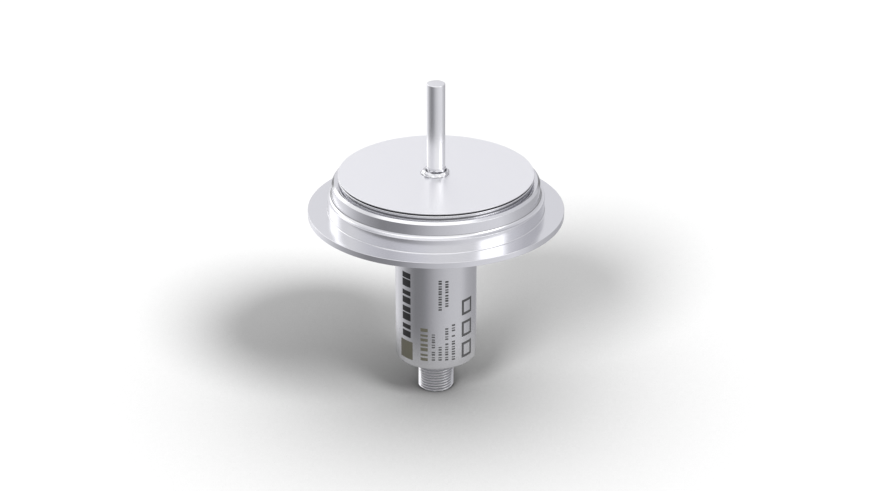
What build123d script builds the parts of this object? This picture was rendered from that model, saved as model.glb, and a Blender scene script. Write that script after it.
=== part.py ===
from build123d import *
import os

# Compact thermal flow and temperature probe with a hygienic process flange.
# A rod-shaped probe tube stands on a stepped, turned flange. A plain round housing hangs under
# the flange and ends in a threaded plug stub.
# The origin lies on the axis, in the plane of the flange seat that meets the port. +Z runs
# towards the probe's tip, and -Y is the side with the plug's coding rib. Sizes are millimetres.

# Fits
fit_clearance = 0.02
slide_clearance = 0.1
seat_gap = 0.3

# Process flange, in height order from the seat
flange_diameter = 84.0
rim_thickness = 2.0
rim_edge_break = 0.15
collar_step = 1.5
collar_height = 4.6
collar_foot_fillet = 0.3
ledge_fillet = 1.3
spigot_diameter = 68.0
spigot_height = 5.3
spigot_lead_in = 0.8
groove_depth = 0.8
lower_groove_width = 0.85
land_thickness = 0.6
land_nose_fillet = 0.27
upper_groove_width = 0.55
lip_setback = 2.0
lip_thickness = 0.25
lip_edge_break = 0.1

# Back of the flange
clamp_cone_width = 6.0
clamp_cone_height = 1.6
hub_length = 4.4
hub_fillet = 1.0
register_length = 3.0
pocket_diameter = 20.0
pocket_roof = 6.0

# Probe tube
probe_diameter = 6.0
probe_reach = 31.3
probe_wall = 0.5
probe_tip_wall = 0.8
probe_tip_chamfer = 0.25
probe_tail = 2.0
root_fillet = 2.5
root_feather = 0.12

# Housing cup
housing_diameter = 27.0
housing_wall = 1.5
housing_length = 45.3
housing_bottom = 2.5
housing_edge_fillet = 0.5

# Plug stub with an M12 thread, drawn at the thread's outer diameter
thread_diameter = 12.0
stub_length = 12.7
stub_chamfer = 0.6
relief_diameter = 10.6
relief_width = 1.2
socket_diameter = 8.8
socket_depth = 9.0
sleeve_flange_diameter = 16.0
sleeve_flange_thickness = 1.5
insert_step_diameter = 9.9
insert_step_depth = 1.5

# Plug insert and contacts
insert_proud = 0.3
insert_front_chamfer = 0.2
rib_width = 1.0
rib_height = 0.6
rib_length = 7.0
seal_section = 0.66
seal_groove_depth = 0.7
seal_groove_width = 1.0
seal_setback = 2.0
pin_count = 4
pin_circle_diameter = 5.0
pin_diameter = 1.0
pin_reach = 7.6
pin_tip_fillet = 0.3
pin_shoulder_diameter = 1.7
pin_shoulder_length = 1.0
pin_shoulder_depth = 2.5
pin_tail_diameter = 0.8
pin_tail_proud = 0.8

# Boards and the carrier that holds them
connector_board_diameter = 19.4
connector_board_thickness = 1.0
main_board_width = 19.3
main_board_height = 33.5
main_board_thickness = 1.6
carrier_wall = 1.9
carrier_window_width = 16.0
carrier_ring_height = 4.0
rail_reach = 1.3
rail_width = 4.0
rail_slot_clearance = 0.05
header_width = 5.0
header_depth = 2.5
header_height = 2.5
header_offset = 3.3

# Parts on the main board: width, height along the board, thickness off the board
microcontroller_size = (7.0, 7.0, 1.2)
signal_converter_size = (5.0, 4.4, 1.1)
output_driver_size = (4.0, 4.0, 0.9)
voltage_regulator_size = (6.5, 3.5, 1.6)
protection_diode_size = (4.6, 3.8, 2.3)
power_inductor_size = (6.0, 6.0, 3.0)
strip_connector_size = (8.0, 2.6, 2.0)
capacitor_diameter = 6.3
capacitor_height = 5.8
capacitor_base = 6.6
capacitor_base_thickness = 1.2
chip_edge_chamfer = 0.15
can_fillet = 0.6

# Where they sit: across the board, and up from its lower edge
output_driver_place = (-4.0, 8.0)
protection_diode_place = (4.0, 8.0)
voltage_regulator_place = (0.0, 6.5)
power_inductor_place = (-4.0, 17.0)
capacitor_place = (4.2, 17.0)
signal_converter_drop = 7.3
strip_connector_drop = 1.8

# Sensor strip with its two elements, in the probe tube
strip_width = 3.6
strip_thickness = 0.3
strip_tip_gap = 1.5
strip_grip = 1.6
strip_bend_radius = 6.0
strip_straight = 3.0
element_width = 1.6
element_length = 2.6
element_thickness = 0.8
element_tip_gap = 2.0
element_spacing = 14.0
fill_length = 6.2

# Radii and levels that follow from the sizes above
collar_radius = spigot_diameter / 2 + collar_step
lip_radius = spigot_diameter / 2 - lip_setback
groove_radius = lip_radius - groove_depth
ledge_level = collar_height
shoulder_level = ledge_level + spigot_height
land_foot_level = shoulder_level + lower_groove_width
land_top_level = land_foot_level + land_thickness
lip_foot_level = land_top_level + upper_groove_width
face_level = lip_foot_level + lip_thickness
clamp_foot_level = -rim_thickness
back_level = clamp_foot_level - clamp_cone_height
hub_end_level = back_level - hub_length
register_end_level = hub_end_level - register_length
pocket_level = face_level - pocket_roof
probe_tip_level = face_level + probe_reach
probe_tail_level = pocket_level - probe_tail
probe_bore_radius = probe_diameter / 2 - probe_wall
tip_inside_level = probe_tip_level - probe_tip_wall
housing_bore_radius = housing_diameter / 2 - housing_wall
housing_end_level = hub_end_level - housing_length
floor_level = housing_end_level + housing_bottom
stub_end_level = housing_end_level - stub_length
sleeve_top_level = floor_level + sleeve_flange_thickness
insert_front_level = stub_end_level + socket_depth
insert_step_level = floor_level - insert_step_depth
insert_rear_level = sleeve_top_level + insert_proud
pin_tip_level = insert_front_level - pin_reach
pin_shoulder_level = insert_rear_level - pin_shoulder_depth
connector_board_level = insert_rear_level
board_foot_level = connector_board_level + connector_board_thickness
board_top_level = board_foot_level + main_board_height
board_face = main_board_thickness / 2
carrier_radius = housing_bore_radius - slide_clearance
carrier_bore_radius = carrier_radius - carrier_wall
carrier_top_level = register_end_level - seat_gap
strip_end_level = tip_inside_level - strip_tip_gap
element_level = tip_inside_level - element_tip_gap - element_length / 2

os.makedirs("parts", exist_ok=True)


def corner(sketch, radius, height):
    """The corner of a turned section nearest to this radius and height."""
    return sketch.vertices().sort_by_distance(Vector(radius, height, 0))[0]


def save(name, part):
    """Labels one finished piece and writes it under its own name."""
    part.label = name
    export_step(part, f"parts/{name}.step")
    print(f"{name}: {len(part.solids())} solid, {part.volume:.1f} mm3")


def save_chip(name, size, place, side):
    """A flat moulded chip on the main board. side is -1 on its front and 1 on its back."""
    width, height, thickness = size
    across, up = place
    face = Plane(
        origin=(across, side * board_face, board_foot_level + up),
        x_dir=(1, 0, 0),
        z_dir=(0, side, 0),
    )
    with BuildPart() as chip:
        with BuildSketch(face):
            Rectangle(width, height)
        extrude(amount=thickness)
        top = chip.faces().sort_by(Axis.Y)[-1 if side > 0 else 0]
        chamfer(top.edges(), chip_edge_chamfer)
    save(name, chip.part)


# Process flange: one turned piece. Its section runs from the probe bore out over the product
# face, down the thin lip, the two grooves with a rounded land between them, the spigot, the
# collar and the rim, and back along the clamp cone and the hub.
bore_radius = probe_diameter / 2 + fit_clearance
register_radius = housing_bore_radius - fit_clearance
with BuildPart() as process_flange:
    with BuildSketch(Plane.XZ) as section:
        with BuildLine():
            Polyline(
                (bore_radius, pocket_level),
                (bore_radius, face_level),
                (lip_radius, face_level),
                (lip_radius, lip_foot_level),
                (groove_radius, lip_foot_level),
                (groove_radius, land_top_level),
                (lip_radius, land_top_level),
                (lip_radius, land_foot_level),
                (groove_radius, land_foot_level),
                (groove_radius, shoulder_level),
                (spigot_diameter / 2, shoulder_level),
                (spigot_diameter / 2, ledge_level),
                (collar_radius, ledge_level),
                (collar_radius, 0),
                (flange_diameter / 2, 0),
                (flange_diameter / 2, clamp_foot_level),
                (flange_diameter / 2 - clamp_cone_width, back_level),
                (housing_diameter / 2, back_level),
                (housing_diameter / 2, hub_end_level),
                (register_radius, hub_end_level),
                (register_radius, register_end_level),
                (pocket_diameter / 2, register_end_level),
                (pocket_diameter / 2, pocket_level),
                close=True,
            )
        make_face()
        chamfer(corner(section, spigot_diameter / 2, shoulder_level), spigot_lead_in)
        chamfer(corner(section, lip_radius, face_level), lip_edge_break)
        chamfer(corner(section, flange_diameter / 2, 0), rim_edge_break)
        chamfer(corner(section, flange_diameter / 2, clamp_foot_level), rim_edge_break)
        chamfer(corner(section, collar_radius, ledge_level), rim_edge_break)
        fillet(corner(section, lip_radius, land_top_level), land_nose_fillet)
        fillet(corner(section, lip_radius, land_foot_level), land_nose_fillet)
        fillet(corner(section, spigot_diameter / 2, ledge_level), ledge_fillet)
        fillet(corner(section, collar_radius, 0), collar_foot_fillet)
        fillet(corner(section, housing_diameter / 2, back_level), hub_fillet)
        # Polished root weld: a concave fillet that runs up the probe tube to a thin feather
        with BuildLine():
            root_outer = bore_radius + root_feather + root_fillet
            Line((bore_radius, face_level), (root_outer, face_level))
            RadiusArc(
                (root_outer, face_level),
                (bore_radius + root_feather, face_level + root_fillet),
                root_fillet,
            )
            Line(
                (bore_radius + root_feather, face_level + root_fillet),
                (bore_radius, face_level + root_fillet),
            )
            Line((bore_radius, face_level + root_fillet), (bore_radius, face_level))
        make_face()
    revolve(axis=Axis.Z)
save("process_flange", process_flange.part)

# Probe tube: drawn tube with a flat closed tip, welded in the flange bore
with BuildPart() as probe_tube:
    with BuildSketch(Plane.XY.offset(probe_tail_level)):
        Circle(probe_diameter / 2)
    extrude(amount=probe_tip_level - probe_tail_level)
    with BuildSketch(Plane.XY.offset(probe_tail_level)):
        Circle(probe_bore_radius)
    extrude(amount=tip_inside_level - probe_tail_level, mode=Mode.SUBTRACT)
    chamfer(probe_tube.faces().sort_by(Axis.Z)[-1].edges(), probe_tip_chamfer)
save("probe_tube", probe_tube.part)

# Housing cup: turned tube and bottom in one piece, bored for the plug stub
with BuildPart() as housing_cup:
    with BuildSketch(Plane.XY.offset(housing_end_level)):
        Circle(housing_diameter / 2)
    extrude(amount=housing_length)
    fillet(housing_cup.faces().sort_by(Axis.Z)[0].edges(), housing_edge_fillet)
    with BuildSketch(Plane.XY.offset(floor_level)):
        Circle(housing_bore_radius)
    extrude(amount=housing_length, mode=Mode.SUBTRACT)
    with BuildSketch(Plane.XY.offset(housing_end_level)):
        Circle(thread_diameter / 2 + fit_clearance)
    extrude(amount=housing_bottom, mode=Mode.SUBTRACT)
save("housing_cup", housing_cup.part)

# Plug stub: flanged sleeve that seats on the housing floor from inside
with BuildPart() as connector_sleeve:
    with BuildSketch(Plane.XZ) as section:
        with BuildLine():
            Polyline(
                (socket_diameter / 2, stub_end_level),
                (thread_diameter / 2, stub_end_level),
                (thread_diameter / 2, housing_end_level - relief_width),
                (relief_diameter / 2, housing_end_level - relief_width),
                (relief_diameter / 2, housing_end_level),
                (thread_diameter / 2, housing_end_level),
                (thread_diameter / 2, floor_level),
                (sleeve_flange_diameter / 2, floor_level),
                (sleeve_flange_diameter / 2, sleeve_top_level),
                (insert_step_diameter / 2, sleeve_top_level),
                (insert_step_diameter / 2, insert_step_level),
                (socket_diameter / 2, insert_step_level),
                close=True,
            )
        make_face()
        chamfer(corner(section, thread_diameter / 2, stub_end_level), stub_chamfer)
        chamfer(
            corner(section, thread_diameter / 2, housing_end_level - relief_width),
            (thread_diameter - relief_diameter) / 4,
        )
    revolve(axis=Axis.Z)
save("connector_sleeve", connector_sleeve.part)

# Pin carrier: stepped moulding with a seal groove, four stepped contact bores and the coding rib
insert_radius = socket_diameter / 2 - fit_clearance
insert_step_radius = insert_step_diameter / 2 - fit_clearance
seal_level = insert_front_level + seal_setback
seal_floor_radius = socket_diameter / 2 - seal_groove_depth
with BuildPart() as connector_insert:
    with BuildSketch(Plane.XZ) as section:
        with BuildLine():
            Polyline(
                (0, insert_front_level),
                (insert_radius, insert_front_level),
                (insert_radius, seal_level - seal_groove_width / 2),
                (seal_floor_radius, seal_level - seal_groove_width / 2),
                (seal_floor_radius, seal_level + seal_groove_width / 2),
                (insert_radius, seal_level + seal_groove_width / 2),
                (insert_radius, insert_step_level),
                (insert_step_radius, insert_step_level),
                (insert_step_radius, insert_rear_level),
                (0, insert_rear_level),
                close=True,
            )
        make_face()
    revolve(axis=Axis.Z)
    with BuildSketch(Plane.XY.offset(insert_front_level)):
        Circle(insert_radius)
        Circle(insert_radius - rib_height, mode=Mode.SUBTRACT)
        with Locations((0, -insert_radius)):
            Rectangle(rib_width, 2 * rib_height, mode=Mode.INTERSECT)
    extrude(amount=-rib_length)
    with BuildSketch(Plane.XY.offset(insert_front_level)):
        with PolarLocations(pin_circle_diameter / 2, pin_count, start_angle=45):
            Circle(pin_diameter / 2 + fit_clearance)
    extrude(amount=insert_rear_level - insert_front_level, mode=Mode.SUBTRACT)
    with BuildSketch(Plane.XY.offset(pin_shoulder_level)):
        with PolarLocations(pin_circle_diameter / 2, pin_count, start_angle=45):
            Circle(pin_shoulder_diameter / 2 + fit_clearance)
    extrude(amount=pin_shoulder_depth, mode=Mode.SUBTRACT)
save("connector_insert", connector_insert.part)

# Seal ring in the groove of the pin carrier
seal_radius = (seal_floor_radius + socket_diameter / 2) / 2
with BuildPart() as insert_seal:
    with BuildSketch(Plane.XZ):
        with Locations((seal_radius, seal_level)):
            Circle(seal_section / 2)
    revolve(axis=Axis.Z)
save("insert_seal", insert_seal.part)

# Plug contacts: one turned pin with a shoulder and a solder tail, set in the four bores
pin_tail_level = board_foot_level + pin_tail_proud
pin_shoulder_end = pin_shoulder_level + pin_shoulder_length
with BuildPart() as contact_pin:
    with BuildSketch(Plane.XZ) as section:
        with BuildLine():
            Polyline(
                (0, pin_tip_level),
                (pin_diameter / 2, pin_tip_level),
                (pin_diameter / 2, pin_shoulder_level),
                (pin_shoulder_diameter / 2, pin_shoulder_level),
                (pin_shoulder_diameter / 2, pin_shoulder_end),
                (pin_tail_diameter / 2, pin_shoulder_end),
                (pin_tail_diameter / 2, pin_tail_level),
                (0, pin_tail_level),
                close=True,
            )
        make_face()
        fillet(corner(section, pin_diameter / 2, pin_tip_level), pin_tip_fillet)
    revolve(axis=Axis.Z)
contact_places = PolarLocations(pin_circle_diameter / 2, pin_count, start_angle=45, rotate=False)
for number, place in enumerate(contact_places, start=1):
    save(f"contact_pin_{number}", contact_pin.part.moved(place))

# Round board that the contact tails are soldered to
with BuildPart() as connector_board:
    with BuildSketch(Plane.XY.offset(connector_board_level)):
        Circle(connector_board_diameter / 2)
        with PolarLocations(pin_circle_diameter / 2, pin_count, start_angle=45):
            Circle(pin_tail_diameter / 2 + fit_clearance, mode=Mode.SUBTRACT)
    extrude(amount=connector_board_thickness)
save("connector_board", connector_board.part)

# Main board, standing on the round board
with BuildPart() as main_board:
    with BuildSketch(Plane.XY.offset(board_foot_level)):
        Rectangle(main_board_width, main_board_thickness)
    extrude(amount=main_board_height)
save("main_board", main_board.part)

# Carrier: moulded sleeve with large windows and two slotted rails for the main board
rail_foot_level = board_foot_level + seat_gap
window_height = carrier_top_level - floor_level - 2 * carrier_ring_height
with BuildPart() as board_carrier:
    with BuildSketch(Plane.XY.offset(floor_level)):
        Circle(carrier_radius)
        Circle(carrier_bore_radius, mode=Mode.SUBTRACT)
    extrude(amount=carrier_top_level - floor_level)
    with BuildSketch(Plane.XY.offset(floor_level + carrier_ring_height)):
        Rectangle(carrier_window_width, 2 * housing_diameter)
    extrude(amount=window_height, mode=Mode.SUBTRACT)
    with BuildSketch(Plane.XY.offset(rail_foot_level)):
        Circle(carrier_bore_radius + carrier_wall / 2)
        Rectangle(2 * carrier_radius, rail_width, mode=Mode.INTERSECT)
        Rectangle(2 * (carrier_bore_radius - rail_reach), rail_width, mode=Mode.SUBTRACT)
    extrude(amount=carrier_top_level - rail_foot_level)
    with BuildSketch(Plane.XY.offset(rail_foot_level)):
        Rectangle(
            main_board_width + 2 * rail_slot_clearance,
            main_board_thickness + 2 * rail_slot_clearance,
        )
    extrude(amount=carrier_top_level - rail_foot_level, mode=Mode.SUBTRACT)
save("board_carrier", board_carrier.part)

# Header block that links the two boards
with BuildPart() as board_header:
    with BuildSketch(Plane.XY.offset(board_foot_level)):
        with Locations((header_offset + header_width / 2, board_face + header_depth / 2)):
            Rectangle(header_width, header_depth)
    extrude(amount=header_height)
save("board_header", board_header.part)

# Chips, with the front of the board towards -Y. The signal converter hangs from the board's top
# edge, under the strip socket, and the microcontroller lies midway to the output driver below.
front, back = -1, 1
converter_height = main_board_height - signal_converter_drop
driver_end = output_driver_place[1] + output_driver_size[1] / 2
controller_height = (driver_end + converter_height - signal_converter_size[1] / 2) / 2
save_chip("microcontroller", microcontroller_size, (0, controller_height), front)
save_chip("signal_converter", signal_converter_size, (0, converter_height), front)
save_chip("output_driver", output_driver_size, output_driver_place, front)
save_chip("protection_diode", protection_diode_size, protection_diode_place, front)
save_chip("voltage_regulator", voltage_regulator_size, voltage_regulator_place, back)
save_chip("power_inductor", power_inductor_size, power_inductor_place, back)

# Buffer capacitor: round can on a square base
capacitor_plane = Plane(
    origin=(capacitor_place[0], board_face, board_foot_level + capacitor_place[1]),
    x_dir=(1, 0, 0),
    z_dir=(0, 1, 0),
)
with BuildPart() as buffer_capacitor:
    with BuildSketch(capacitor_plane):
        Circle(capacitor_diameter / 2)
    extrude(amount=capacitor_height)
    fillet(buffer_capacitor.faces().sort_by(Axis.Y)[-1].edges(), can_fillet)
    with BuildSketch(capacitor_plane):
        RectangleRounded(capacitor_base, capacitor_base, can_fillet)
    extrude(amount=capacitor_base_thickness)
save("buffer_capacitor", buffer_capacitor.part)

# Strip socket on the front of the main board, open at its top for the sensor strip
strip_width_x, socket_height, socket_thickness = strip_connector_size
socket_top_level = board_top_level - strip_connector_drop
strip_seat = -board_face - socket_thickness / 2
with BuildPart() as strip_connector:
    with BuildSketch(Plane.XY.offset(socket_top_level - socket_height)):
        with Locations((0, strip_seat)):
            Rectangle(strip_width_x, socket_thickness)
    extrude(amount=socket_height)
    with BuildSketch(Plane.XY.offset(socket_top_level - strip_grip - fit_clearance)):
        with Locations((0, strip_seat)):
            Rectangle(strip_width + 2 * fit_clearance, strip_thickness + 2 * fit_clearance)
    extrude(amount=socket_height, mode=Mode.SUBTRACT)
save("strip_connector", strip_connector.part)

# Sensor strip: rises from its socket, bends over to the axis and runs up the probe tube
with BuildPart() as sensor_strip:
    with BuildSketch(Plane.YZ):
        with BuildLine():
            FilletPolyline(
                (strip_seat, socket_top_level - strip_grip),
                (strip_seat, socket_top_level + strip_straight),
                (0, probe_tail_level - strip_straight),
                (0, strip_end_level),
                radius=strip_bend_radius,
            )
        trace(line_width=strip_thickness)
    extrude(amount=strip_width / 2, both=True)
save("sensor_strip", sensor_strip.part)

# Temperature elements on the strip, and the heat-conducting fill that ties each to the tube
for name, fill_name, level in (
    ("heated_element", "tip_fill", element_level),
    ("reference_element", "reference_fill", element_level - element_spacing),
):
    with BuildPart() as element:
        with BuildSketch(Plane.XY.offset(level - element_length / 2)):
            with Locations((0, (strip_thickness + element_thickness) / 2)):
                Rectangle(element_width, element_thickness)
        extrude(amount=element_length)
    save(name, element.part)
    fill_top = min(tip_inside_level, level + fill_length / 2)
    with BuildPart() as fill:
        with BuildSketch(Plane.XY.offset(fill_top - fill_length)):
            Circle(probe_bore_radius - fit_clearance)
        extrude(amount=fill_length)
        add(sensor_strip.part, mode=Mode.SUBTRACT)
        add(element.part, mode=Mode.SUBTRACT)
    save(fill_name, fill.part)
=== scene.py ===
# Studio picture of a flow and temperature probe with a stepped steel process flange.
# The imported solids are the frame; the turned pieces that show get finer meshes here.
import math

import bmesh
import bpy
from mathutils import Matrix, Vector


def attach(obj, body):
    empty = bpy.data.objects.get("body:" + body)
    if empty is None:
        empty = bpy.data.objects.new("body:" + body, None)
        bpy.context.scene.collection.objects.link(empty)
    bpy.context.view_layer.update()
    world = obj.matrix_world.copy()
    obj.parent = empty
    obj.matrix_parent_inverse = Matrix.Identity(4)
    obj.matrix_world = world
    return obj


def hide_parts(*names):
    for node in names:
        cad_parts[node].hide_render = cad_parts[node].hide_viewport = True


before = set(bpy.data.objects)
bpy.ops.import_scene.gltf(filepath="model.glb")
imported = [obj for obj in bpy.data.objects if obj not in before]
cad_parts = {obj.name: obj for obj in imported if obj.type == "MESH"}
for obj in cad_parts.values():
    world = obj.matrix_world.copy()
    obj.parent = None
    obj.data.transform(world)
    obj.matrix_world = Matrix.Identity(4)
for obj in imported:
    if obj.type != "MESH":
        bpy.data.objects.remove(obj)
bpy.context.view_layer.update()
mm = 0.001
print("frame loaded")


def linearColour(hexCode):  # sRGB hex to the linear colour that Blender wants
    channels = [int(hexCode[i:i + 2], 16) / 255 for i in (1, 3, 5)]
    return [c / 12.92 if c <= 0.04045 else ((c + 0.055) / 1.055) ** 2.4 for c in channels] + [1.0]


def addNode(tree, kind, values=None, links=None, **settings):  # one node, its values and what feeds it
    node = tree.nodes.new(kind)
    for name, setting in settings.items():
        setattr(node, name, setting)
    for socket, value in (values or {}).items():
        node.inputs[socket].default_value = value
    for socket, source in (links or {}).items():
        tree.links.new(source, node.inputs[socket])
    return node


def newMaterial(name):
    material = bpy.data.materials.new(name)
    material.use_nodes = True
    material.node_tree.nodes.clear()
    return material, material.node_tree


def finishPiece(obj, material, nodes):  # what every piece of the object needs at the end
    obj.data.materials.clear()
    obj.data.materials.append(material)
    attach(obj, "root")
    if nodes:
        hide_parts(*nodes)
    return obj


def linkPiece(name, mesh):
    obj = bpy.data.objects.new(name, mesh)
    bpy.context.scene.collection.objects.link(obj)
    return obj


def roundedOutline(corners):  # (radius, height, rounding) in mm to points in metres
    outline = []
    for i, (r, z, rounding) in enumerate(corners):
        here = Vector((r, z))
        if rounding <= 0:
            outline.append(here * mm)
            continue
        before = (Vector(corners[i - 1][:2]) - here).normalized()
        after = (Vector(corners[(i + 1) % len(corners)][:2]) - here).normalized()
        half = before.angle(after) / 2
        reach = rounding / math.tan(half)
        centre = here + (before + after).normalized() * (rounding / math.sin(half))
        start = (here + before * reach - centre).normalized()
        end = (here + after * reach - centre).normalized()
        arcSteps = max(4, math.ceil(rounding * 5))
        for step in range(arcSteps + 1):
            spoke = start.slerp(end, step / arcSteps)
            outline.append((centre + spoke * rounding) * mm)
    return outline


def turnedPiece(name, corners, steps=256, sharpAngle=24):  # a closed section spun round the axis
    mesh = bpy.data.meshes.new(name)
    bm = bmesh.new()
    outline = roundedOutline(corners)
    ring = [bm.verts.new((p.x, 0, p.y)) for p in outline]
    edges = [bm.edges.new((ring[i - 1], ring[i])) for i in range(len(ring))]
    bmesh.ops.spin(bm, geom=ring + edges, axis=(0, 0, 1), cent=(0, 0, 0),
                   angle=2 * math.pi, steps=steps, use_merge=True)
    bmesh.ops.remove_doubles(bm, verts=bm.verts, dist=1e-7)
    bmesh.ops.recalc_face_normals(bm, faces=bm.faces)
    bm.to_mesh(mesh)
    bm.free()
    mesh.shade_smooth()
    mesh.set_sharp_from_angle(angle=math.radians(sharpAngle))
    obj = linkPiece(name, mesh)
    even = obj.modifiers.new("evenNormals", "WEIGHTED_NORMAL")
    even.keep_sharp = True
    return obj


def polishedSteel():
    # 1.4404 stainless, turned and electropolished: the steps mirror their surroundings with crisp edges,
    # and the more matt face only gives a soft sheen back. The face's paler colour and the steps' darker
    # one are painted light and shade, which set how bright each reflects
    look = {"shadedStepColour": "#DEDEE1", "litFaceColour": "#F2F2F4", "stepRoughness": 0.16,
            "faceRoughness": 0.33, "face": 12.15, "turningPitch": 0.4, "turningDepth": 0.015}
    material, tree = newMaterial("electropolishedStainless")
    place = addNode(tree, "ShaderNodeTexCoord")
    flat = addNode(tree, "ShaderNodeVectorMath", {1: (1.0, 1.0, 0.0)}, {0: place.outputs["Object"]},
                   operation="MULTIPLY")
    radius = addNode(tree, "ShaderNodeVectorMath", links={0: flat.outputs[0]}, operation="LENGTH")
    turns = addNode(tree, "ShaderNodeMath", {1: 2 * math.pi / (look["turningPitch"] * mm)},
                    {0: radius.outputs["Value"]}, operation="MULTIPLY")
    rings = addNode(tree, "ShaderNodeMath", links={0: turns.outputs[0]}, operation="SINE")
    bump = addNode(tree, "ShaderNodeBump", {"Strength": look["turningDepth"], "Distance": 0.1 * mm},
                   {"Height": rings.outputs[0]})
    parts = addNode(tree, "ShaderNodeSeparateXYZ", links={0: place.outputs["Object"]})
    onFace = addNode(tree, "ShaderNodeMath", {1: look["face"] * mm, 2: 0.05 * mm},
                     {0: parts.outputs["Z"]}, operation="COMPARE")
    roughness = addNode(tree, "ShaderNodeMapRange",
                        {"To Min": look["stepRoughness"], "To Max": look["faceRoughness"]},
                        {"Value": onFace.outputs[0]})
    # Paler face, darker steps: painted light and shade in the base colour
    colour = addNode(tree, "ShaderNodeMix", {6: linearColour(look["shadedStepColour"]),
                                             7: linearColour(look["litFaceColour"])},
                     {0: onFace.outputs[0]}, data_type="RGBA")
    steel = addNode(tree, "ShaderNodeBsdfPrincipled", {"Metallic": 1.0},
                    {"Base Color": colour.outputs[2], "Normal": bump.outputs["Normal"],
                     "Roughness": roughness.outputs[0]})
    addNode(tree, "ShaderNodeOutputMaterial", links={"Surface": steel.outputs[0]})
    return material


def plainMaterial(name, colour, roughness, metallic=0.0, settings=None):
    material, tree = newMaterial(name)
    values = {"Base Color": linearColour(colour), "Metallic": metallic, "Roughness": roughness}
    values.update(settings or {})
    surface = addNode(tree, "ShaderNodeBsdfPrincipled", values)
    addNode(tree, "ShaderNodeOutputMaterial", links={"Surface": surface.outputs[0]})
    return material


turnedSteel = polishedSteel()
# Drawn and polished tube: smoother than the flange, so its streaks are crisper
drawnSteel = plainMaterial("polishedStainlessTube", "#E8E8EA", 0.22, 1.0)
# Groove walls and the weld's toes: rougher steel, and darker as painted shade in these recesses and
# creases, so that each reads as a line
grooveShadeSteel = plainMaterial("grooveShadeStainless", "#7C7C80", 0.4, 1.0)


def groundSteel():
    # Centreless-ground housing: marks run round it, so its reflections smear along the axis
    look = {"colour": "#CACACC", "roughness": 0.22, "smear": 0.4}
    material, tree = newMaterial("satinGroundStainless")
    around = addNode(tree, "ShaderNodeTangent", direction_type="RADIAL", axis="Z")
    steel = addNode(tree, "ShaderNodeBsdfPrincipled",
                    {"Base Color": linearColour(look["colour"]), "Metallic": 1.0,
                     "Roughness": look["roughness"], "Anisotropic": look["smear"]},
                    {"Tangent": around.outputs["Tangent"]})
    addNode(tree, "ShaderNodeOutputMaterial", links={"Surface": steel.outputs[0]})
    return material


satinSteel = groundSteel()
# Cut thread, plated: a little darker, and bright on every crest
threadSteel = plainMaterial("cutThreadStainless", "#CFCFD2", 0.22, 1.0)
# Annealed by the laser: the print is dull and dark, and takes no shine from the steel
printBlack = plainMaterial("laserBlackPrint", "#0C0C0D", 0.55)
printGrey = plainMaterial("laserGreyPrint", "#414142", 0.5)
printOlive = plainMaterial("laserOlivePrint", "#4E4C41", 0.5)
# Black glass-filled nylon, moulded: dull, with a slight sheen on its edges
insertNylon = plainMaterial("glassFilledNylon", "#1B1B1C", 0.5)
sealRubber = plainMaterial("nitrileRubber", "#141414", 0.6)
goldPlate = plainMaterial("goldPlatedBrass", "#E3BE62", 0.2, 1.0)
# Sealed inside: simple finishes that say what each part is made of
boardLaminate = plainMaterial("lacqueredGlassEpoxy", "#1C5A35", 0.35)
carrierPolymer = plainMaterial("greyPolycarbonate", "#4A4A4D", 0.5)
headerPolymer = plainMaterial("naturalLiquidCrystalPolymer", "#CBBF9E", 0.5)
chipEpoxy = plainMaterial("mouldedChipEpoxy", "#1E1E1F", 0.5)
pressedFerrite = plainMaterial("pressedFerrite", "#3A3A3C", 0.6)
drawnAluminium = plainMaterial("drawnAluminiumCan", "#D8D8DA", 0.3, 1.0)
polyimideFilm = plainMaterial("amberPolyimideFilm", "#B5742A", 0.3)
elementCeramic = plainMaterial("whiteAluminaElement", "#E8E6DF", 0.4)
fillCompound = plainMaterial("paleHeatCompound", "#CDCCC8", 0.6)
print("materials made")


flange = {  # radii and heights in mm, from the seat plane; every edge is broken a little
    "rimRadius": 42.0, "rimThickness": 2.0, "collarRadius": 35.5, "collarTop": 4.6,
    "ledgeFillet": 1.3, "spigotRadius": 34.0, "spigotTop": 9.9, "leadIn": 0.8,
    "grooveRadius": 31.2, "landFoot": 10.75, "landTop": 11.35, "landNose": 0.27,
    "lipFoot": 11.9, "lipRadius": 32.0, "face": 12.15, "boreRadius": 3.02,
    "rootFillet": 2.5, "feather": 0.12, "hubRadius": 13.5, "hubEnd": -8.0,
    "coneFoot": 36.0, "coneTop": -3.6, "registerRadius": 11.98, "registerEnd": -11.0,
    "pocketRadius": 10.0, "pocketTop": 6.15, "edge": 0.15,
}
weld = {  # the bead round the tube's foot, in mm; each wave has its count round the tube and its shift
    "radius": 4.2, "top": 1.5, "crownInset": 1.0, "shoulderInset": 0.35, "shoulderDrop": 0.4,
    "sideDrop": 1.1, "ripple": 0.3, "rippleHeight": 0.5, "waves": ((3, 2.6), (5, 0.4), (8, 1.1)),
    "start": 160, "startSwell": 0.9, "outside": 0.25, "above": 0.3,
}
paintedShadeZones = {  # where the darker steel of painted shade goes, in the grooves and at the weld's toes: heights and depths in mm
    "lowerGrooveTop": 10.25, "grooveFrom": 0.15, "grooveTo": 0.85, "outerToeTop": 0.12,
    "innerToeFoot": 0.4, "innerToeWidth": 0.5,
}
tolerance = 0.01  # mm


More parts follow.
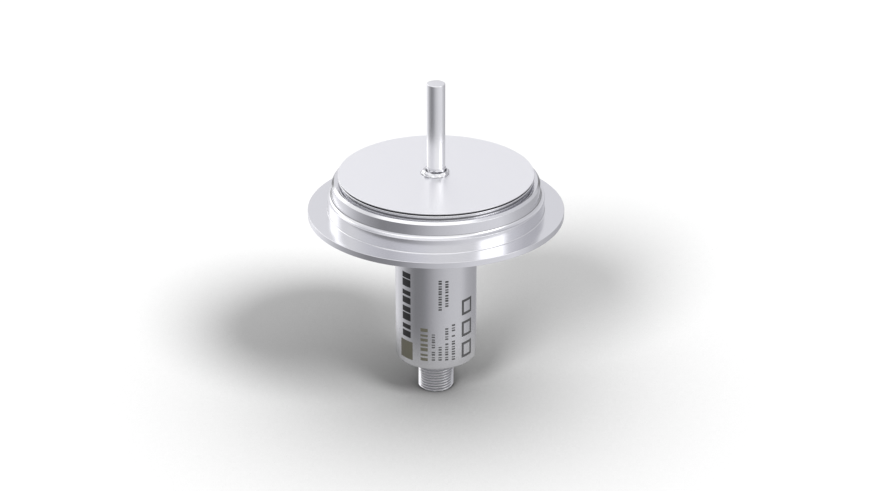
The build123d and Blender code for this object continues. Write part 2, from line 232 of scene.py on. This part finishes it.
def rippleWeld(mesh):  # the bead isn't even, and is widest where it was started and ended
    start = math.radians(weld["start"])
    tubeSide = flange["boreRadius"] + flange["feather"]
    for point in mesh.vertices:
        radius = math.hypot(point.co.x, point.co.y) / mm
        height = point.co.z / mm - flange["face"]
        onBead = -tolerance < height < weld["top"] + weld["above"]
        if not onBead or radius > weld["radius"] + weld["outside"]:
            continue
        angle = math.atan2(point.co.y, point.co.x)
        wave = sum(math.sin(count * angle + shift) for count, shift in weld["waves"])
        swell = weld["ripple"] * wave * min(height, weld["rippleHeight"])
        fromTube = max(0, radius - tubeSide) / (weld["radius"] - flange["boreRadius"])
        spread = swell + weld["startSwell"] * fromTube * (0.5 + 0.5 * math.cos(angle - start)) ** 3
        point.co.x *= 1 + spread / radius
        point.co.y *= 1 + spread / radius
        if radius > tubeSide + 0.1:  # the sleeve on the tube keeps its height
            point.co.z += swell / 2 * mm


def buildFlange():
    f = flange
    rootTop = f["face"] + f["rootFillet"]
    crown = f["face"] + weld["top"]
    featherRadius = f["boreRadius"] + f["feather"]
    corners = [
        (f["boreRadius"], f["pocketTop"], 0),
        (f["boreRadius"], rootTop, 0),
        (featherRadius, rootTop, 0),
        (featherRadius, crown - weld["shoulderDrop"], 0.08),
        (weld["radius"] - weld["crownInset"], crown, 0.3),
        (weld["radius"] - weld["shoulderInset"], crown - weld["shoulderDrop"], 0.5),
        (weld["radius"], crown - weld["sideDrop"], 0.4),
        (weld["radius"], f["face"], f["edge"]),
        (f["lipRadius"], f["face"], 0.1),
        (f["lipRadius"], f["lipFoot"], 0.03),
        (f["grooveRadius"], f["lipFoot"], 0.06),
        (f["grooveRadius"], f["landTop"], 0.06),
        (f["lipRadius"], f["landTop"], f["landNose"]),
        (f["lipRadius"], f["landFoot"], f["landNose"]),
        (f["grooveRadius"], f["landFoot"], 0.06),
        (f["grooveRadius"], paintedShadeZones["lowerGrooveTop"], 0),
        (f["grooveRadius"], f["spigotTop"], 0.06),
        (f["spigotRadius"] - f["leadIn"], f["spigotTop"], f["edge"]),
        (f["spigotRadius"], f["spigotTop"] - f["leadIn"], f["edge"]),
        (f["spigotRadius"], f["collarTop"], f["ledgeFillet"]),
        (f["collarRadius"], f["collarTop"], f["edge"]),
        (f["collarRadius"], 0, 0.3),
        (f["rimRadius"], 0, f["edge"]),
        (f["rimRadius"], -f["rimThickness"], f["edge"]),
        (f["coneFoot"], f["coneTop"], 0.5),
        (f["hubRadius"], f["coneTop"], 1.0),
        (f["hubRadius"], f["hubEnd"], 0.08),
        (f["registerRadius"], f["hubEnd"], 0),
        (f["registerRadius"], f["registerEnd"], 0),
        (f["pocketRadius"], f["registerEnd"], 0),
        (f["pocketRadius"], f["pocketTop"], 0),
    ]
    piece = turnedPiece("processFlange", corners, steps=320)
    rippleWeld(piece.data)
    finishPiece(piece, turnedSteel, ["process_flange"])
    # Faces deep in the grooves and at the weld's toes take the darker steel: painted shade in these
    # recesses and creases
    piece.data.materials.append(grooveShadeSteel)
    for face in piece.data.polygons:
        radius = math.hypot(face.center.x, face.center.y) / mm
        height = face.center.z / mm
        inLower = f["spigotTop"] - tolerance < height < paintedShadeZones["lowerGrooveTop"]
        inUpper = f["landTop"] - tolerance < height < f["lipFoot"] + tolerance
        inGroove = paintedShadeZones["grooveFrom"] < f["lipRadius"] - radius < paintedShadeZones["grooveTo"] and (inLower or inUpper)
        rise = height - f["face"]
        onOuterToe = tolerance < rise < paintedShadeZones["outerToeTop"]
        byTube = radius < f["boreRadius"] + paintedShadeZones["innerToeWidth"]
        onInnerToe = paintedShadeZones["innerToeFoot"] < rise < weld["top"] and byTube
        if inGroove or onOuterToe or onInnerToe:
            face.material_index = 1


buildFlange()
print("flange turned")

tube = {"radius": 3.0, "bore": 2.5, "foot": 4.15, "insideTop": 42.65, "tip": 43.45, "edge": 0.25}
probe = turnedPiece("probeTube", [
    (tube["bore"], tube["foot"], 0),
    (tube["radius"], tube["foot"], 0),
    (tube["radius"], tube["tip"], tube["edge"]),
    (0, tube["tip"], 0),
    (0, tube["insideTop"], 0),
    (tube["bore"], tube["insideTop"], 0),
], steps=96)
finishPiece(probe, drawnSteel, ["probe_tube"])
print("probe tube drawn")

housing = {"radius": 13.5, "bore": 12.0, "top": -8.0, "foot": -53.3, "floor": -50.8,
           "stubHole": 6.02, "footEdge": 0.5, "topEdge": 0.08}
cup = turnedPiece("housingCup", [
    (housing["bore"], housing["floor"], 0),
    (housing["bore"], housing["top"], 0),
    (housing["radius"], housing["top"], housing["topEdge"]),
    (housing["radius"], housing["foot"], housing["footEdge"]),
    (housing["stubHole"], housing["foot"], 0),
    (housing["stubHole"], housing["floor"], 0),
], steps=192)
finishPiece(cup, satinSteel, ["housing_cup"])
print("housing turned")

stub = {"crest": 6.0, "pitch": 1.0, "depth": 0.61, "foot": -66.0, "chamfer": 0.6, "runOut": -54.5,
        "relief": 5.3, "shoulder": -53.3, "flangeRadius": 8.0, "flangeFoot": -50.8, "flangeTop": -49.3,
        "step": 4.95, "stepFoot": -52.3, "socket": 4.4, "rowsPerPitch": 24, "stepsRound": 120,
        "sharpAngle": 35}


def threadRadius(angle, height):  # a right-handed thread, rounded at crest and root
    s = stub
    turns = height / s["pitch"] - angle / (2 * math.pi)
    cut = s["depth"] * (0.5 - 0.5 * math.cos(2 * math.pi * turns))
    footCone = s["crest"] - s["chamfer"] + height - s["foot"]
    topCone = s["relief"] + s["runOut"] - height
    return min(s["crest"] - cut, footCone, topCone)


def buildThreadedStub():  # closed rings, from the socket's top down its bore, over the thread and back
    s = stub
    angles = [2 * math.pi * step / s["stepsRound"] for step in range(s["stepsRound"])]
    plain = [(s["step"], s["stepFoot"]), (s["socket"], s["stepFoot"]), (s["socket"], s["foot"])]
    rings = [[ring] * len(angles) for ring in plain]
    rowCount = round((s["runOut"] - s["foot"]) / s["pitch"] * s["rowsPerPitch"])
    for row in range(rowCount + 1):
        height = s["foot"] + row * s["pitch"] / s["rowsPerPitch"]
        rings.append([(threadRadius(angle, height), height) for angle in angles])
    plain = [(s["relief"], s["shoulder"]), (s["crest"], s["shoulder"]), (s["crest"], s["flangeFoot"]),
             (s["flangeRadius"], s["flangeFoot"]), (s["flangeRadius"], s["flangeTop"]),
             (s["step"], s["flangeTop"])]
    rings += [[ring] * len(angles) for ring in plain]
    points = [(r * math.cos(a) * mm, r * math.sin(a) * mm, z * mm)
              for ring in rings for a, (r, z) in zip(angles, ring)]
    around = len(angles)
    faces = []
    for level in range(len(rings)):
        here, above = level * around, (level + 1) % len(rings) * around
        for step in range(around):
            beyond = (step + 1) % around
            faces.append((here + step, here + beyond, above + beyond, above + step))
    mesh = bpy.data.meshes.new("threadedStub")
    mesh.from_pydata(points, [], faces)
    mesh.shade_smooth()
    mesh.set_sharp_from_angle(angle=math.radians(s["sharpAngle"]))
    finishPiece(linkPiece("threadedStub", mesh), threadSteel, ["connector_sleeve"])


buildThreadedStub()
print("stub threaded")

plainNodes = {  # the solids that are shown as they are, and their finishes
    "connector_insert": insertNylon, "insert_seal": sealRubber,
    "connector_board": boardLaminate, "main_board": boardLaminate, "board_carrier": carrierPolymer,
    "board_header": headerPolymer, "strip_connector": headerPolymer, "microcontroller": chipEpoxy,
    "signal_converter": chipEpoxy, "output_driver": chipEpoxy, "protection_diode": chipEpoxy,
    "voltage_regulator": chipEpoxy, "power_inductor": pressedFerrite,
    "buffer_capacitor": drawnAluminium, "sensor_strip": polyimideFilm,
    "heated_element": elementCeramic, "reference_element": elementCeramic,
    "tip_fill": fillCompound, "reference_fill": fillCompound,
}
plainNodes.update({f"contact_pin_{number}": goldPlate for number in range(1, 5)})
for nodeName, material in plainNodes.items():
    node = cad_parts[nodeName]
    node.data.materials.clear()
    node.data.materials.append(material)
print("inner pieces finished")

printRows = {  # bars up the housing: degrees round it, then millimetres; block is one bar and its gap
    "bold": {"angle": -46.5, "height": 3.8, "foot": -43.0, "words": [24.0], "block": 3.1,
             "fill": 0.76, "ink": printBlack},
    "title": {"angle": -17.0, "height": 2.5, "foot": -50.2, "words": [12.4], "block": 1.8,
              "fill": 0.6, "ink": printOlive},
    "lineOne": {"angle": -3.7, "height": 1.1, "foot": -49.9, "words": [4.0, 6.0], "block": 0.95,
                "fill": 0.6, "ink": printGrey},
    "lineTwo": {"angle": 5.8, "height": 1.1, "foot": -49.9, "words": [5.7], "block": 0.95,
                "fill": 0.6, "ink": printGrey},
    "lineTwoEnd": {"angle": 5.8, "height": 1.1, "foot": -31.3, "words": [11.0], "block": 0.95,
                   "fill": 0.65, "ink": printGrey},
    "lineThree": {"angle": 15.3, "height": 1.1, "foot": -50.0, "words": [7.0, 5.2], "block": 0.95,
                  "fill": 0.6, "ink": printGrey},
    "lineThreeEnd": {"angle": 15.3, "height": 1.1, "foot": -30.1, "words": [4.4, 4.6], "block": 0.95,
                     "fill": 0.65, "ink": printGrey},
    "lineFour": {"angle": 25.3, "height": 1.2, "foot": -50.2, "words": [8.0, 1.4, 2.6], "block": 0.95,
                 "fill": 0.6, "ink": printGrey},
}
hollow = {"angle": 49.4, "width": 4.8, "length": 5.6, "stroke": 0.9, "ink": printGrey}
printPatches = {  # one solid patch and three hollow squares
    "square": {"angle": -47.0, "width": 5.6, "foot": -51.0, "length": 6.6, "stroke": 0, "ink": printOlive},
    "blockOne": {**hollow, "foot": -50.4},
    "blockTwo": {**hollow, "foot": -42.6},
    "blockThree": {**hollow, "foot": -34.6},
}
printProud = 0.015  # mm above the steel, too little to see
printRhythm = (1.0, 0.7, 1.15, 0.85)  # bars of uneven length
printFacet = 0.5  # mm of curve to a facet
wordGap = 0.7  # of a block


def addPatch(bm, middle, width, foot, length):  # a thin curved plate on the housing
    columns = max(2, int(width / printFacet))
    layers = []
    for radius in (housing["radius"] - printProud, housing["radius"] + printProud):
        layer = []
        for column in range(columns + 1):
            across = (column / columns - 0.5) * width
            angle = math.radians(middle) + across / housing["radius"]
            x, y = radius * math.sin(angle) * mm, -radius * math.cos(angle) * mm
            layer.append((bm.verts.new((x, y, foot * mm)), bm.verts.new((x, y, (foot + length) * mm))))
        layers.append(layer)
    inner, outer = layers
    for column in range(columns):
        a, b = column, column + 1
        bm.faces.new((outer[a][0], outer[b][0], outer[b][1], outer[a][1]))
        bm.faces.new((inner[a][1], inner[b][1], inner[b][0], inner[a][0]))
        bm.faces.new((outer[a][1], outer[b][1], inner[b][1], inner[a][1]))
        bm.faces.new((inner[a][0], inner[b][0], outer[b][0], outer[a][0]))
    bm.faces.new((inner[0][0], outer[0][0], outer[0][1], inner[0][1]))
    bm.faces.new((outer[-1][0], inner[-1][0], inner[-1][1], outer[-1][1]))


def buildPrint(name, ink):
    bm = bmesh.new()
    for row in printRows.values():
        if row["ink"] is not ink:
            continue
        foot = row["foot"]
        for word in row["words"]:
            count = max(1, round(word / row["block"]))
            for number in range(count):
                bar = row["block"] * row["fill"] * printRhythm[number % len(printRhythm)]
                addPatch(bm, row["angle"], row["height"], foot + number * row["block"], bar)
            foot += word + row["block"] * wordGap
    for patch in printPatches.values():
        if patch["ink"] is not ink:
            continue
        if not patch["stroke"]:
            addPatch(bm, patch["angle"], patch["width"], patch["foot"], patch["length"])
            continue
        stroke = patch["stroke"]
        aside = math.degrees((patch["width"] - stroke) / 2 / housing["radius"])
        for side in (-aside, aside):
            addPatch(bm, patch["angle"] + side, stroke, patch["foot"], patch["length"])
        for foot in (patch["foot"], patch["foot"] + patch["length"] - stroke):
            addPatch(bm, patch["angle"], patch["width"] - 2 * stroke, foot, stroke)
    mesh = bpy.data.meshes.new(name)
    bm.to_mesh(mesh)
    bm.free()
    obj = linkPiece(name, mesh)
    obj.data.materials.append(ink)
    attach(obj, "root")


buildPrint("boldPrint", printBlack)
buildPrint("greyPrint", printGrey)
buildPrint("olivePrint", printOlive)
print("print laid on")

studio = {  # millimetres; the steel mirrors the paper only close by, and the room beyond it
    "floorZ": -66.0, "floorSize": 12000.0, "floorColour": "#F2F2F2",
    "mirroredFloorNear": 28.0, "mirroredFloorFar": 64.0, "sky": 0.01, "roomStrength": 1.15,
    "shadeReach": 200.0, "shadePower": 1.8,
}
softLights = {  # azimuth from the front, -Y, towards +X; azimuth, elevation and spread in degrees
    "keyLight": {"azimuth": 45, "elevation": 46, "spread": 22, "strength": 2.9},
    "sideLight": {"azimuth": -28, "elevation": 35, "spread": 22, "strength": 3.0},
}
blends = {"horizon": (-0.12, 0.2), "overhead": (0.5, 0.8)}  # between the room's bands, as sines
room = {  # what the steel mirrors, as tones round the horizon: below it, above it and overhead
    "low": {-180: "#CACACE", -145: "#F4F4F8", -118: "#E0E0E4", -92: "#AEAEB2", -62: "#868689",
            -35: "#8E8E92", 0: "#C4C4C8", 35: "#DCDCE0", 75: "#E2E2E6", 100: "#C2C2C6", 150: "#ABABAF"},
    "high": {-180: "#E2E2E6", -150: "#FDFDFF", -100: "#FFFFFF", -75: "#EAEAEE", -50: "#DCDCE0",
             -20: "#F4F4F8", 0: "#FFFFFF", 30: "#FFFFFF", 85: "#F0F0F4", 110: "#D4D4D8", 140: "#CDCDD1"},
    "overhead": {-180: "#F4F4F8", -90: "#D4D4D8", 0: "#FFFFFF", 60: "#EAEAEE", 120: "#D0D0D4"},
}
cards = {  # cards that the steel mirrors, in degrees: white over paper white, or black for dark lines
    "rightCard": {"azimuth": 62, "halfWidth": 15, "from": 8, "to": 44, "edge": 6, "tone": 2.1},
    "leftCard": {"azimuth": -139, "halfWidth": 15, "from": 8, "to": 44, "edge": 7, "tone": 1.7},
    "frontCard": {"azimuth": -15, "halfWidth": 75, "from": 48, "to": 84, "edge": 10, "tone": 1.35},
    "blackStrip": {"azimuth": 0, "halfWidth": 200, "from": -6, "to": 6, "edge": 5, "tone": 0.2},
}


def azimuthRamp(tree, turn, tones):  # tones round the horizon, on one ramp
    ramp = addNode(tree, "ShaderNodeValToRGB", links={0: turn})
    stops = sorted(tones.items())
    stops.append((180, tones[-180]))
    elements = ramp.color_ramp.elements
    while len(elements) < len(stops):
        elements.new(0.5)
    for element, (azimuth, tone) in zip(elements, stops):
        element.position = azimuth / 360 + 0.5
        element.color = linearColour(tone)
    return ramp


def softStep(tree, value, low, high):
    return addNode(tree, "ShaderNodeMapRange", {"From Min": low, "From Max": high}, {"Value": value},
                   interpolation_type="SMOOTHSTEP").outputs[0]


def addCard(tree, degrees, rise, below, card):  # one soft-edged card over what lies behind it
    away = addNode(tree, "ShaderNodeMath", {1: card["azimuth"]}, {0: degrees}, operation="SUBTRACT")
    around = addNode(tree, "ShaderNodeMath", {1: 180.0, 2: -180.0}, {0: away.outputs[0]}, operation="WRAP")
    beside = addNode(tree, "ShaderNodeMath", links={0: around.outputs[0]}, operation="ABSOLUTE")
    edge = card["edge"]
    across = softStep(tree, beside.outputs[0], card["halfWidth"] + edge, card["halfWidth"] - edge)
    foot, head = [[math.sin(math.radians(card[end] + side * edge)) for side in (-1, 1)]
                  for end in ("from", "to")]
    over = softStep(tree, rise, foot[0], foot[1])
    under = softStep(tree, rise, head[1], head[0])
    upright = addNode(tree, "ShaderNodeMath", links={0: over, 1: under}, operation="MULTIPLY")
    share = addNode(tree, "ShaderNodeMath", links={0: across, 1: upright.outputs[0]}, operation="MULTIPLY")
    tone = [card["tone"], card["tone"], card["tone"], 1.0]
    return addNode(tree, "ShaderNodeMix", {7: tone}, {0: share.outputs[0], 6: below},
                   data_type="RGBA").outputs[2]


def buildWorld():
    world = bpy.data.worlds.new("studioSurroundings")
    bpy.context.scene.world = world
    world.use_nodes = True
    tree = world.node_tree
    tree.nodes.clear()
    place = addNode(tree, "ShaderNodeTexCoord")
    parts = addNode(tree, "ShaderNodeSeparateXYZ", links={0: place.outputs["Generated"]})
    front = addNode(tree, "ShaderNodeMath", {1: -1.0}, {0: parts.outputs["Y"]}, operation="MULTIPLY")
    angle = addNode(tree, "ShaderNodeMath", links={0: parts.outputs["X"], 1: front.outputs[0]},
                    operation="ARCTAN2")
    turn = addNode(tree, "ShaderNodeMath", {1: 0.5 / math.pi, 2: 0.5}, {0: angle.outputs[0]},
                   operation="MULTIPLY_ADD")
    degrees = addNode(tree, "ShaderNodeMath", links={0: angle.outputs[0]}, operation="DEGREES")
    rise = parts.outputs["Z"]
    low, high, overhead = [azimuthRamp(tree, turn.outputs[0], room[band]) for band in room]
    horizon = addNode(tree, "ShaderNodeMix", links={0: softStep(tree, rise, *blends["horizon"]),
                                                    6: low.outputs[0], 7: high.outputs[0]},
                      data_type="RGBA")
    mirrored = addNode(tree, "ShaderNodeMix", links={0: softStep(tree, rise, *blends["overhead"]),
                                                     6: horizon.outputs[2], 7: overhead.outputs[0]},
                       data_type="RGBA").outputs[2]
    for card in cards.values():
        mirrored = addCard(tree, degrees.outputs[0], rise, mirrored, card)
    seen = addNode(tree, "ShaderNodeBackground", {"Strength": studio["roomStrength"]},
                   {"Color": mirrored})
    dome = addNode(tree, "ShaderNodeBackground",
                   {"Color": linearColour("#FFFFFF"), "Strength": studio["sky"]})
    backdrop = addNode(tree, "ShaderNodeBackground", {"Color": linearColour("#FFFFFF")})
    rays = addNode(tree, "ShaderNodeLightPath")
    # The steel throws no light back on the paper, which keeps the shadow as deep as it should be
    first = addNode(tree, "ShaderNodeMath", {1: 0.5}, {0: rays.outputs["Diffuse Depth"]},
                    operation="LESS_THAN")
    mirror = addNode(tree, "ShaderNodeMath", links={0: rays.outputs["Is Glossy Ray"], 1: first.outputs[0]},
                     operation="MULTIPLY")
    lit = addNode(tree, "ShaderNodeMixShader",
                  links={0: mirror.outputs[0], 1: dome.outputs[0], 2: seen.outputs[0]})
    shown = addNode(tree, "ShaderNodeMixShader",
                    links={0: rays.outputs["Is Camera Ray"], 1: lit.outputs[0], 2: backdrop.outputs[0]})
    addNode(tree, "ShaderNodeOutputWorld", links={"Surface": shown.outputs[0]})


def buildFloor():
    # White paper, matt to the eye; the steel mirrors it only near the probe. Under the flange, where
    # little of the room reaches it, its colour is darkened towards black by occlusion: painted shade,
    # deeper than the lamps alone would cast.
    half = studio["floorSize"] / 2 * mm
    z = studio["floorZ"] * mm
    mesh = bpy.data.meshes.new("studioFloor")
    mesh.from_pydata([(-half, -half, z), (half, -half, z), (half, half, z), (-half, half, z)],
                     [], [(0, 1, 2, 3)])
    floor = linkPiece("studioFloor", mesh)
    material, tree = newMaterial("whitePaperSweep")
    openness = addNode(tree, "ShaderNodeAmbientOcclusion", {"Distance": studio["shadeReach"] * mm},
                       samples=16)
    shade = addNode(tree, "ShaderNodeMath", {1: studio["shadePower"]}, {0: openness.outputs["AO"]},
                    operation="POWER")
    # Painted shade: the paper's colour goes towards black where it is enclosed
    colour = addNode(tree, "ShaderNodeMix", {6: linearColour("#000000"),
                                             7: linearColour(studio["floorColour"])},
                     {0: shade.outputs[0]}, data_type="RGBA")
    paper = addNode(tree, "ShaderNodeBsdfDiffuse", links={"Color": colour.outputs[2]})
    clear = addNode(tree, "ShaderNodeBsdfTransparent")
    place = addNode(tree, "ShaderNodeTexCoord")
    flat = addNode(tree, "ShaderNodeVectorMath", {1: (1.0, 1.0, 0.0)}, {0: place.outputs["Object"]},
                   operation="MULTIPLY")
    distance = addNode(tree, "ShaderNodeVectorMath", links={0: flat.outputs[0]}, operation="LENGTH")
    beyond = softStep(tree, distance.outputs["Value"], studio["mirroredFloorNear"] * mm,
                      studio["mirroredFloorFar"] * mm)
    rays = addNode(tree, "ShaderNodeLightPath")
    hidden = addNode(tree, "ShaderNodeMath", links={0: rays.outputs["Is Glossy Ray"], 1: beyond},
                     operation="MULTIPLY")
    shown = addNode(tree, "ShaderNodeMixShader",
                    links={0: hidden.outputs[0], 1: paper.outputs[0], 2: clear.outputs[0]})
    addNode(tree, "ShaderNodeOutputMaterial", links={"Surface": shown.outputs[0]})
    mesh.materials.append(material)


def buildSoftLights():
    for name, lamp in softLights.items():
        light = bpy.data.lights.new(name, "SUN")
        light.angle = math.radians(lamp["spread"])
        light.energy = lamp["strength"]
        obj = linkPiece(name, light)
        obj.visible_glossy = False  # the cards stand in for it in the steel
        a, e = math.radians(lamp["azimuth"]), math.radians(lamp["elevation"])
        towards = Vector((math.sin(a) * math.cos(e), -math.cos(a) * math.cos(e), math.sin(e)))
        obj.location = towards
        obj.rotation_euler = towards.to_track_quat("Z", "Y").to_euler()


def buildCamera():
    # Set from the outlines of the rim, face, housing and rod in the photograph
    view = {"lens": 96.2, "sensor": 36, "elevation": 25.49, "distance": 769.63, "lookHeight": -13.96}
    data = bpy.data.cameras.new("productCamera")
    data.lens = view["lens"]
    data.sensor_width = view["sensor"]
    data.clip_start, data.clip_end = 0.05, 50
    camera = bpy.data.objects.new("productCamera", data)
    bpy.context.scene.collection.objects.link(camera)
    e = math.radians(view["elevation"])
    camera.location = (0, -view["distance"] * math.cos(e) * mm,
                       (view["lookHeight"] + view["distance"] * math.sin(e)) * mm)
    camera.rotation_euler = (math.pi / 2 - e, 0, 0)
    bpy.context.scene.camera = camera


buildWorld()
buildFloor()
buildSoftLights()
buildCamera()
bpy.context.scene.view_settings.view_transform = "Standard"
print("studio set")
